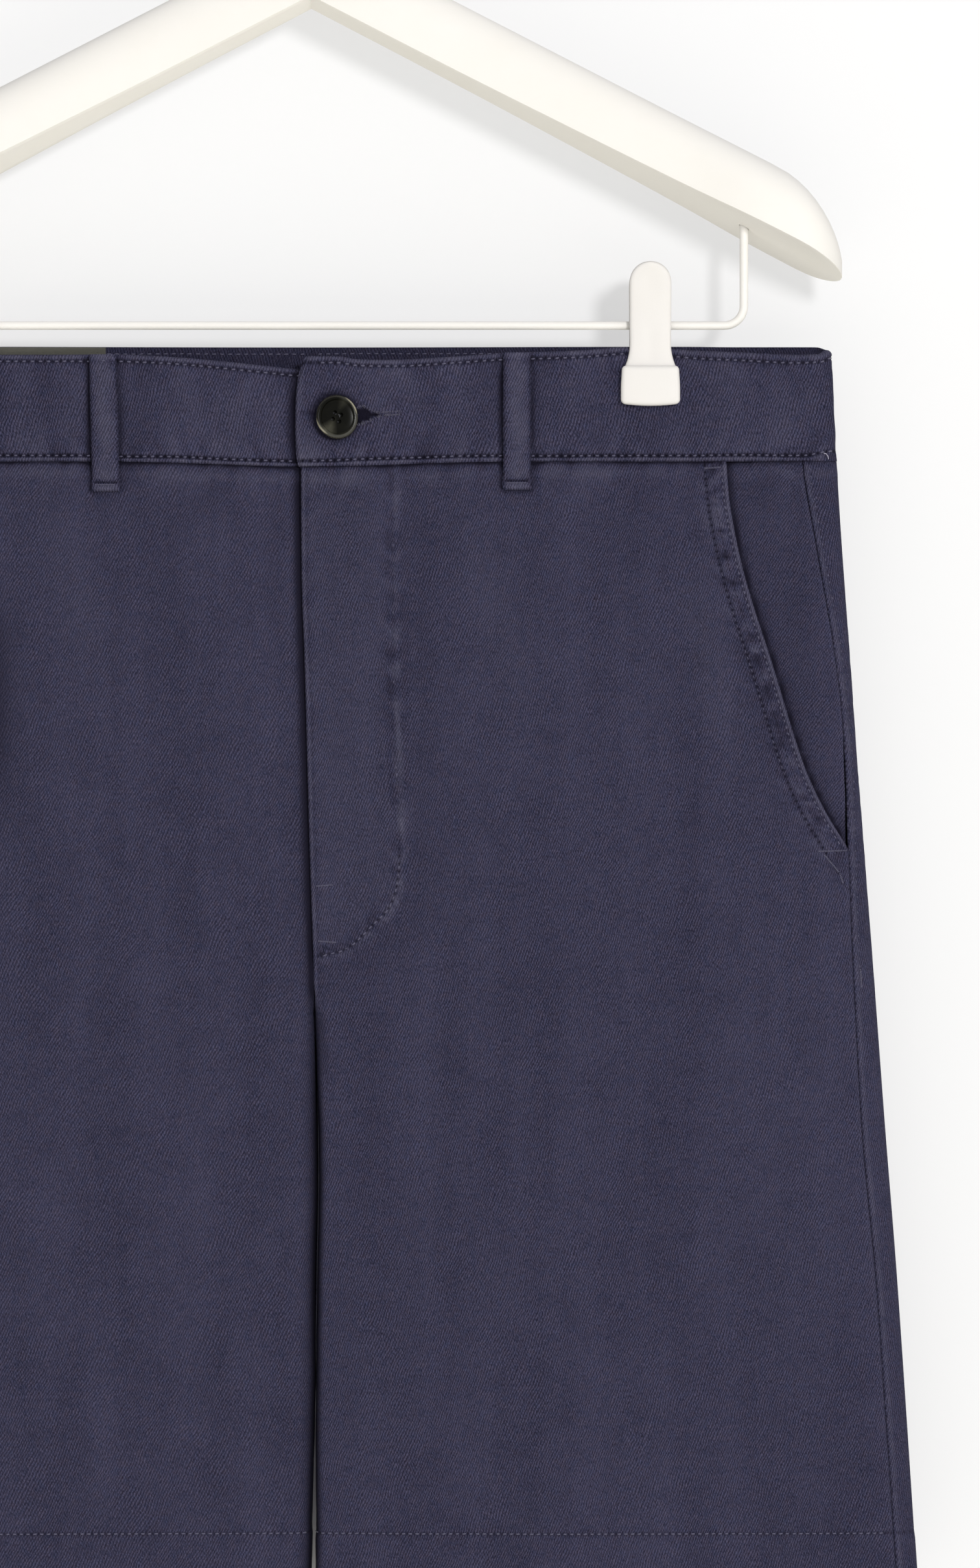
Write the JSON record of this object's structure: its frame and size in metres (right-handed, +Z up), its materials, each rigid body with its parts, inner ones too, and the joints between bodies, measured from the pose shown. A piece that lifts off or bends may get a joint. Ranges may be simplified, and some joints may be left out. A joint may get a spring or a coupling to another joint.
{
  "type": "bermuda shorts on a clip hanger",
  "caption": "Flat-front navy twill bermuda shorts with slant pockets, a button fly and belt loops, hung flat from a white hanger by clips at the waistband.",
  "frame": {"origin": "inside of the hook's top, where a rail carries the hanger", "axes": "+X to the wearer's left, +Y from the shorts' front to their back, +Z up"},
  "size_m": [0.4896, 0.043, 0.7491],
  "materials": {
    "front_twill": "matte navy cotton twill, steep wale",
    "back_twill": "matte navy cotton twill, steep wale",
    "band_twill": "matte navy cotton twill, folded and stiffened",
    "loop_twill": "matte navy cotton twill strip",
    "facing_twill": "matte navy cotton twill",
    "pocketing": "plain pocketing cloth",
    "zip_tape": "woven tape with a moulded coil",
    "zip_metal": "dulled metal",
    "horn": "dark horn-look resin, lightly streaked",
    "label": "plain woven olive-grey, bare",
    "white_plastic": "warm white, satin",
    "white_wire": "warm white coating on wire",
    "spring_steel": "bright spring steel"
  },
  "bodies": {
    "root": {"front_left": "front_twill", "front_right": "front_twill", "back_left": "back_twill", "back_right": "back_twill", "waistband_left": "band_twill", "waistband_right": "band_twill", "belt_loop_front_left": "loop_twill", "belt_loop_front_right": "loop_twill", "belt_loop_back_left": "loop_twill", "belt_loop_back_centre": "loop_twill", "belt_loop_back_right": "loop_twill", "pocket_facing_left": "facing_twill", "pocket_facing_right": "facing_twill", "pocket_bag_front_left": "pocketing", "pocket_bag_front_right": "pocketing", "pocket_bag_back_left": "pocketing", "pocket_bag_back_right": "pocketing", "fly_shield": "facing_twill", "zip_tape": "zip_tape", "zip_slider": "zip_metal", "button": "horn", "label": "label", "hanger_arms": "white_plastic", "hanger_hook": "white_wire", "hanger_bar": "white_wire", "clip_front_left": "white_plastic", "clip_front_right": "white_plastic", "clip_back_left": "white_plastic", "clip_back_right": "white_plastic", "clip_spring_left": "spring_steel", "clip_spring_right": "spring_steel"}
  },
  "joints": []
}
